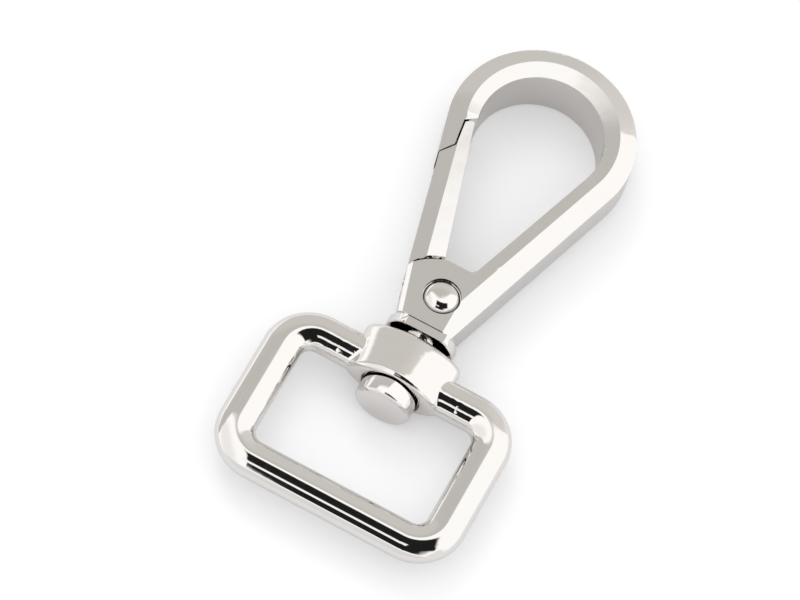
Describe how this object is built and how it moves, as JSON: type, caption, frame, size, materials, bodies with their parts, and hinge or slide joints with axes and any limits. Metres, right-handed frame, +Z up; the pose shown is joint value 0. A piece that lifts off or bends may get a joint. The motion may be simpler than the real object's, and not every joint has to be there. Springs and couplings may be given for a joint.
{
  "type": "swivel snap hook",
  "caption": "Swivel snap hook lying flat: drop-shaped hook with a sprung inward gate and stepped latch, on a rectangular strap loop that turns.",
  "frame": {"origin": "on the table, under the middle of the whole hook's length and width", "axes": "+X across the hook away from the gate, +Y along the swivel axis towards the eye, +Z up from the table"},
  "size_m": [0.0282, 0.0597, 0.0068],
  "materials": {
    "nickel_plated_casting": "mirror polished nickel plate on zinc",
    "nickel_plated_pin": "mirror polished nickel plate on steel",
    "spring_steel": "plain drawn wire"
  },
  "bodies": {
    "hook": {"hook_body": "nickel_plated_casting", "gate_rivet": "nickel_plated_pin", "swivel_pin": "nickel_plated_pin", "gate_spring": "spring_steel"},
    "gate": {"gate": "nickel_plated_casting"},
    "strap_loop": {"strap_loop": "nickel_plated_casting"}
  },
  "joints": [
    {"name": "gate_hinge", "type": "hinge", "parent": "hook", "child": "gate", "pos_m": [0, -0.00285, 0.0032], "axis": [0, 0, 1], "range_deg": [-28, 0], "stiffness_Nm_per_rad": 0.01, "springref_deg": 68.75, "deforming": ["gate_spring"]},
    {"name": "loop_swivel", "type": "hinge", "parent": "hook", "child": "strap_loop", "pos_m": [0, -0.01085, 0.0032], "axis": [0, 1, 0], "continuous": true}
  ]
}
